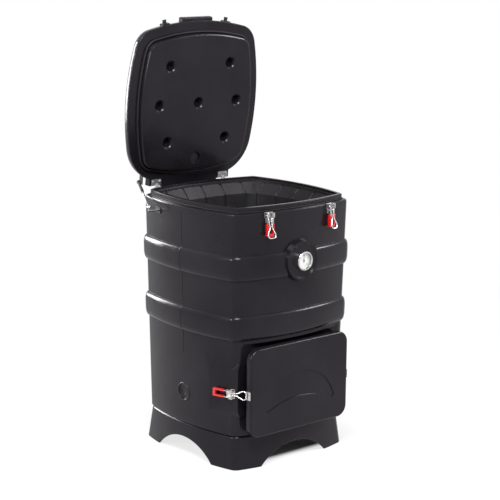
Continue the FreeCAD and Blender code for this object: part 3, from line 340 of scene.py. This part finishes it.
def plastic(name, colour, roughness, grain, depth, shine=PLASTIC_SHINE):
    """Moulded plastic: orange peel in two sizes, with broad, faint changes of tone and sheen."""
    material = bpy.data.materials.new(name)
    tree = Tree(material)
    place = tree.coordinates()
    broad = tree.noise(place, BROAD_SCALE, 4.0)
    cloud = tree.noise(place, CLOUD_SCALE, 5.0, 0.6)
    dust = tree.noise(place, DUST_SCALE, 6.0, 0.7)
    light = tuple(min(1.0, part * LIGHTER + LIGHTER_BY) for part in colour)
    tone = tree.blend(tree.uneven(broad, 0.0, 1.0), colour, light)
    change = tree.math("ADD", tree.uneven(cloud, *CLOUD_GLOSS), tree.uneven(dust, *DUST_GLOSS))
    pebble = tree.noise(place, grain, 3.0, 0.6)
    peel = tree.cells(place, grain * PEEL_FINENESS)
    height = tree.math("ADD", tree.math("MULTIPLY", peel, PEEL_SHARE), pebble)
    sag = tree.bump(broad, SAG_STRENGTH, SAG_DEPTH, tree.rounded(PLASTIC_EDGE))
    normal = tree.bump(height, PEEL_STRENGTH, depth, sag)
    gloss = tree.math("ADD", change, roughness)
    tree.surface(tone, gloss, normal, Specular_IOR_Level=shine, Specular_Tint=PLASTIC_TINT)
    return material


BRUSH_SCALE = 900.0
BRUSH_STRENGTH = 0.15
BRUSH_DEPTH = 0.0002
STAIN_SCALE = 60.0
STAIN_RANGE = (0.35, 0.75)
DULL = 0.72
METAL_EDGE = 0.0006


def metal(name, colour, roughness, scratch=(1, 1, 1), wear=0.12):
    """Bright metal with fine brushing and small changes of gloss."""
    material = bpy.data.materials.new(name)
    tree = Tree(material)
    place = tree.coordinates(scratch)
    brush = tree.noise(place, BRUSH_SCALE, 4.0, 0.6)
    stain = tree.noise(tree.coordinates(), STAIN_SCALE, 4.0)
    dull = tuple(part * DULL for part in colour)
    tone = tree.blend(tree.spread(stain, *STAIN_RANGE, 0.0, 1.0), colour, dull)
    gloss = tree.math("ADD", tree.uneven(stain, 0.0, wear), roughness)
    normal = tree.bump(brush, BRUSH_STRENGTH, BRUSH_DEPTH, tree.rounded(METAL_EDGE))
    tree.surface(tone, gloss, normal, Metallic=1.0)
    return material


GRIP_RED = (0.50, 0.008, 0.008)
GRIP_DARK = (0.36, 0.004, 0.006)
DIAL_LIGHT = (0.86, 0.86, 0.84)
DIAL_DARK = (0.78, 0.78, 0.76)
GLASS_CLEAR = (1.0, 1.0, 1.0)
FOAM_DARK = (0.62, 0.55, 0.38)
FOAM_LIGHT = (0.74, 0.68, 0.50)


def grip_material():
    """Red dipped vinyl: glossy, with a faint unevenness."""
    material = bpy.data.materials.new("grip_red")
    tree = Tree(material)
    place = tree.coordinates()
    pool = tree.noise(place, 120.0, 3.0)
    tone = tree.blend(tree.uneven(pool, 0.0, 1.0), GRIP_RED, GRIP_DARK)
    normal = tree.bump(pool, 0.25, 0.0006, tree.rounded(PLASTIC_EDGE))
    gloss = tree.uneven(pool, 0.22, 0.36)
    tree.surface(tone, gloss, normal, Coat_Weight=0.35, Coat_Roughness=0.1)
    return material


def dial_material():
    """Painted dial, almost even."""
    material = bpy.data.materials.new("dial_white")
    tree = Tree(material)
    grain = tree.noise(tree.coordinates(), 300.0, 4.0)
    tone = tree.blend(grain, DIAL_LIGHT, DIAL_DARK)
    tree.surface(tone, tree.uneven(grain, 0.35, 0.5), tree.bump(grain, 0.1, 0.0001))
    return material


def glass_material():
    """Thin clear lens with faint smears."""
    material = bpy.data.materials.new("gauge_glass")
    tree = Tree(material)
    smear = tree.noise(tree.coordinates(), 70.0, 3.0)
    gloss = tree.uneven(smear, 0.0, 0.04)
    tree.surface(GLASS_CLEAR, gloss, None, Transmission_Weight=1.0, IOR=1.1)
    return material


def foam_material():
    """Yellowish foam with small pores."""
    material = bpy.data.materials.new("foam")
    tree = Tree(material)
    place = tree.coordinates()
    pores = tree.cells(place, 450.0)
    tone = tree.blend(pores, FOAM_DARK, FOAM_LIGHT)
    tree.surface(tone, 0.9, tree.bump(pores, 0.6, 0.0008))
    return material


MATERIALS = {
    "shell_black": plastic("shell_black", (0.0036, 0.0029, 0.0041), 0.20, 130.0, 0.0003, 0.20),
    "liner_black": plastic("liner_black", (0.0085, 0.0080, 0.0085), 0.30, 170.0, 0.0010, 0.36),
    "plug_black": plastic("plug_black", (0.0060, 0.0055, 0.0060), 0.32, 320.0, 0.0004),
    "rubber_black": plastic("rubber_black", (0.0060, 0.0060, 0.0060), 0.50, 400.0, 0.0003, 0.25),
    "tube_black": plastic("tube_black", (0.0060, 0.0060, 0.0065), 0.24, 700.0, 0.0002),
    "bracket_black": plastic("bracket_black", (0.0080, 0.0080, 0.0085), 0.34, 500.0, 0.0002),
    "pointer_black": plastic("pointer_black", (0.0100, 0.0100, 0.0100), 0.45, 900.0, 0.0001),
    "foam": foam_material(),
    "steel": metal("steel", (0.40, 0.40, 0.41), 0.34, (1, 1, 12), 0.2),
    "latch_steel": metal("latch_steel", (0.62, 0.61, 0.60), 0.22, (1, 1, 10)),
    "wire_chrome": metal("wire_chrome", (0.78, 0.78, 0.77), 0.14, (1, 1, 6), 0.08),
    "fastener_steel": metal("fastener_steel", (0.58, 0.58, 0.57), 0.30),
    "rod_steel": metal("rod_steel", (0.50, 0.50, 0.50), 0.20, (1, 1, 9), 0.1),
    "gauge_metal": metal("gauge_metal", (0.70, 0.70, 0.69), 0.20, (1, 1, 4), 0.08),
    "grip_red": grip_material(),
    "dial_white": dial_material(),
    "gauge_glass": glass_material(),
}


def paint(piece, slot):
    piece.data.materials.clear()
    piece.data.materials.append(MATERIALS[slot])


def dress_cad_nodes():
    for name, node in NODES.items():
        for entry in node.material_slots:
            entry.material = MATERIALS[SLOTS[name]]


# Pieces in place of nodes: the CAD's form with rounded edges and smooth faces

SHARP_ANGLE = math.radians(40)
BEVEL_ANGLE = math.radians(30)
FLAT_ANGLE = math.radians(0.05)
BEVEL_STEPS = 3
WELD = 0.01 * MM
LARGE_FORMS = (
    ("body_shell", 1.8 * MM),
    ("inner_liner", 1.6 * MM),
    ("base_plinth", 3.0 * MM),
    ("lid_shell", 1.5 * MM),
    ("door_shell", 1.2 * MM),
    ("lid_seal", 1.6 * MM),
    ("rim_seal", 0.8 * MM),
)
LATCH_FORMS = (
    ("_grip", 1.5 * MM),
    ("_lever", 0.5 * MM),
    ("_base", 0.5 * MM),
)


def add_piece(name, mesh, body, slot):
    piece = bpy.data.objects.new(name, mesh)
    bpy.context.scene.collection.objects.link(piece)
    paint(piece, slot)
    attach(piece, body)
    return piece


def body_of(node):
    return NODES[node]["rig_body"]


def rounded_mesh(node, edge):
    """Copy of a node's mesh with its sharp edges rounded and its faces shaded smooth."""
    mesh = NODES[node].data.copy()
    mesh.name = node + "_form"
    form = bmesh.new()
    form.from_mesh(mesh)
    bmesh.ops.remove_doubles(form, verts=form.verts, dist=WELD)
    bmesh.ops.dissolve_limit(form, angle_limit=FLAT_ANGLE, verts=form.verts, edges=form.edges)
    for face in form.faces:
        face.smooth = True
    form.to_mesh(mesh)
    form.free()
    source = bpy.data.objects.new("rounding_source", mesh)
    bpy.context.scene.collection.objects.link(source)
    bevel = source.modifiers.new("bevel", "BEVEL")
    bevel.width = edge
    bevel.segments = BEVEL_STEPS
    bevel.limit_method = "ANGLE"
    bevel.angle_limit = BEVEL_ANGLE
    even = source.modifiers.new("even", "WEIGHTED_NORMAL")
    even.keep_sharp = True
    ready = source.evaluated_get(bpy.context.evaluated_depsgraph_get())
    result = bpy.data.meshes.new_from_object(ready)
    result.name = node + "_form"
    bpy.data.objects.remove(source)
    bpy.data.meshes.remove(mesh)
    result.set_sharp_from_angle(angle=SHARP_ANGLE)
    return result


def rounded(node, edge):
    piece = add_piece(node + "_form", rounded_mesh(node, edge), body_of(node), SLOTS[node])
    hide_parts(node)


def make_large_forms():
    for node, edge in LARGE_FORMS:
        rounded(node, edge)


def make_small_forms():
    for place in ("front", "door"):
        for side in ("left", "right"):
            label = "%s_latch_%s" % (place, side)
            for ending, edge in LATCH_FORMS:
                rounded(label + ending, edge)


# Details: mould seams, the filler plug, the gauge's marks and the lid's rail lip

def surface_tree(name):
    """Search tree of a piece's surface."""
    mesh = bpy.data.objects[name].data
    corners = [vertex.co.copy() for vertex in mesh.vertices]
    return BVHTree.FromPolygons(corners, [tuple(polygon.vertices) for polygon in mesh.polygons])


def mesh_piece(name, points, faces, body, slot, smooth=True):
    mesh = bpy.data.meshes.new(name)
    mesh.from_pydata(points, [], faces)
    mesh.validate()
    for polygon in mesh.polygons:
        polygon.use_smooth = smooth
    mesh.set_sharp_from_angle(angle=SHARP_ANGLE)
    return add_piece(name, mesh, body, slot)


SEAM_LOW = 0.385
SEAM_HIGH = 0.904
SEAM_STEP = 0.003
SEAM_HALF = 0.0020
SEAM_PROUD = 0.0013
SEAM_SINK = 0.0008
SEAM_PLACE = -0.004
SEAM_PROFILE = (
    (-SEAM_HALF, -SEAM_SINK),
    (-SEAM_HALF * 0.7, SEAM_PROUD * 0.55),
    (0, SEAM_PROUD),
    (SEAM_HALF * 0.7, SEAM_PROUD * 0.55),
    (SEAM_HALF, -SEAM_SINK),
)
OUTSIDE = 0.6


def make_seam(tree, side):
    """Low round ridge that follows the wall from the lower band to the shoulder."""
    points = []
    rows = 0
    height = SEAM_LOW
    while height <= SEAM_HIGH:
        hit = tree.ray_cast(Vector((side * OUTSIDE, SEAM_PLACE, height)), Vector((-side, 0, 0)))[0]
        for across, proud in SEAM_PROFILE:
            points.append((hit.x + side * proud, SEAM_PLACE + across, height))
        rows += 1
        height += SEAM_STEP
    wide = len(SEAM_PROFILE)
    faces = []
    for row in range(rows - 1):
        for column in range(wide - 1):
            first = row * wide + column
            face = (first, first + 1, first + 1 + wide, first + wide)
            faces.append(face if side > 0 else face[::-1])
        base = row * wide
        back = (base + wide - 1, base, base + wide, base + 2 * wide - 1)
        faces.append(back if side > 0 else back[::-1])
    for row, flip in ((0, side > 0), (rows - 1, side < 0)):
        ring = tuple(range(row * wide, row * wide + wide))
        faces.append(ring[::-1] if flip else ring)
    label = "left" if side < 0 else "right"
    mesh_piece("body_seam_" + label, points, faces, body_of("body_shell"), "shell_black")


def turned(profile, segments):
    """Points and faces of a profile of radius and depth turned about the Z axis, with both ends closed."""
    points = []
    for radius, depth in profile:
        for index in range(segments):
            angle = 2 * math.pi * index / segments
            points.append((radius * math.cos(angle), radius * math.sin(angle), depth))
    faces = []
    for row in range(len(profile) - 1):
        for index in range(segments):
            following = (index + 1) % segments
            faces.append((row * segments + index, row * segments + following,
                          (row + 1) * segments + following, (row + 1) * segments + index))
    faces.append(tuple(reversed(range(segments))))
    last = (len(profile) - 1) * segments
    faces.append(tuple(range(last, last + segments)))
    return points, faces


PLUG_PLACE = 0.034
PLUG_SEGMENTS = 64
PLUG_PROFILE = ((0.0295, -0.0120), (0.0303, -0.0005), (0.0335, 0.0000), (0.0338, 0.0010), (0.0325, 0.0022),
                (0.0300, 0.0024), (0.0285, 0.0014), (0.0275, -0.0030), (0.0250, -0.0042), (0.0150, -0.0044),
                (0.0140, -0.0036), (0.0115, -0.0036), (0.0105, -0.0044), (0.0020, -0.0046))


def make_filler_plug(tree):
    """Push-in plug with a rim that covers its hole, dished inside a raised ring."""
    node = NODES["body_filler_plug"]
    corners = [node.matrix_world @ Vector(corner) for corner in node.bound_box]
    height = sum(corner.z for corner in corners) / len(corners)
    hit = tree.ray_cast(Vector((-OUTSIDE, PLUG_PLACE, height)), Vector((1, 0, 0)))[0]
    points, faces = turned(PLUG_PROFILE, PLUG_SEGMENTS)
    placed = [(hit.x - depth, across, height + along) for across, along, depth in points]
    slot = SLOTS["body_filler_plug"]
    piece = mesh_piece("body_filler_plug_form", placed, faces, body_of("body_filler_plug"), slot)
    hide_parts("body_filler_plug")


QUARTER_TURN = math.radians(90)
TICKS = 41
LONG_EVERY = 5
TICK_SWEEP = math.radians(270)
TICK_RING = 0.0272
LONG_TICK = (0.0022, 0.00055)
SHORT_TICK = (0.0012, 0.0003)
NUMBERS = 5
NUMBER_STEP = 20
NUMBER_RING = 0.0192
NUMBER_HEIGHT = 0.0052
MARK_RISE = 0.00015


def mark_angle(index, count):
    """Angle of one of a number of even marks, from the low end of the dial's sweep."""
    return TICK_SWEEP * (0.5 - index / (count - 1)) + QUARTER_TURN


def box_parts(points, faces, centre, along, across, half_length, half_width, front):
    """Adds one flat bar that stands a little proud of the dial."""
    first = len(points)
    for depth in (0, MARK_RISE):
        for one, two in ((-1, -1), (1, -1), (1, 1), (-1, 1)):
            place = centre + along * (one * half_length) + across * (two * half_width)
            points.append((place.x, front - depth, place.z))
    for ring in ((3, 2, 1, 0), (4, 5, 6, 7), (0, 1, 5, 4), (1, 2, 6, 5), (2, 3, 7, 6), (3, 0, 4, 7)):
        faces.append(tuple(first + index for index in ring))


def make_gauge_marks():
    """Ticks and plain numbers round the dial."""
    node = NODES["gauge_dial"]
    corners = [node.matrix_world @ Vector(corner) for corner in node.bound_box]
    front = min(corner.y for corner in corners)
    middle = sum(corners, Vector()) / len(corners)
    points = []
    faces = []
    for index in range(TICKS):
        angle = mark_angle(index, TICKS)
        along = Vector((math.cos(angle), 0, math.sin(angle)))
        across = Vector((-along.z, 0, along.x))
        half_length, half_width = SHORT_TICK if index % LONG_EVERY else LONG_TICK
        centre = Vector((middle.x, 0, middle.z)) + along * (TICK_RING - half_length)
        box_parts(points, faces, centre, along, across, half_length, half_width, front)
    mesh_piece("gauge_ticks", points, faces, body_of("gauge_dial"), "pointer_black", smooth=False)
    for index in range(NUMBERS):
        angle = mark_angle(index, NUMBERS)
        number = index * NUMBER_STEP
        text = bpy.data.curves.new("number_text", "FONT")
        text.body = str(number)
        text.size = NUMBER_HEIGHT
        text.align_x = "CENTER"
        text.align_y = "CENTER"
        text.extrude = MARK_RISE
        carrier = bpy.data.objects.new("number_carrier", text)
        bpy.context.scene.collection.objects.link(carrier)
        ready = carrier.evaluated_get(bpy.context.evaluated_depsgraph_get())
        mesh = bpy.data.meshes.new_from_object(ready)
        bpy.data.objects.remove(carrier)
        bpy.data.curves.remove(text)
        across = NUMBER_RING * math.cos(angle)
        rise = NUMBER_RING * math.sin(angle)
        place = Vector((middle.x + across, front, middle.z + rise))
        mesh.transform(Matrix.Translation(place) @ Matrix.Rotation(QUARTER_TURN, 4, "X"))
        add_piece("gauge_number_%d" % number, mesh, body_of("gauge_dial"), "pointer_black")


LID_ANGLE = math.radians(84.5)
HINGE_AXIS = (0.0, 0.312, 0.918)
RAIL_HALF = 0.130
RAIL_BACK = (0.300, 0.313)
RAIL_RISE = (0.9362, 0.950)


def make_rail_lip():
    """Lower edge of the lid's hinge rail, drawn on the shut lid and then opened."""
    rest = Matrix.Rotation(-LID_ANGLE, 4, "X")
    axis = Vector(HINGE_AXIS)
    corners = [(x, y, z) for x in (-RAIL_HALF, RAIL_HALF) for y in RAIL_BACK for z in RAIL_RISE]
    points = [tuple(axis + rest @ (Vector(corner) - axis)) for corner in corners]
    faces = [(0, 1, 3, 2), (4, 6, 7, 5), (0, 4, 5, 1), (2, 3, 7, 6), (0, 2, 6, 4), (1, 5, 7, 3)]
    mesh_piece("lid_rail_lip", points, faces, body_of("lid_shell"), "shell_black", smooth=False)


def make_details():
    walls = surface_tree("body_shell_form")
    for side in (-1, 1):
        make_seam(walls, side)
    make_filler_plug(walls)
    make_gauge_marks()
    make_rail_lip()


bpy.context.scene.view_settings.view_transform = "Standard"
add_camera()
make_world()
make_floor()
light_studio()
dress_cad_nodes()
make_large_forms()
make_small_forms()
make_details()
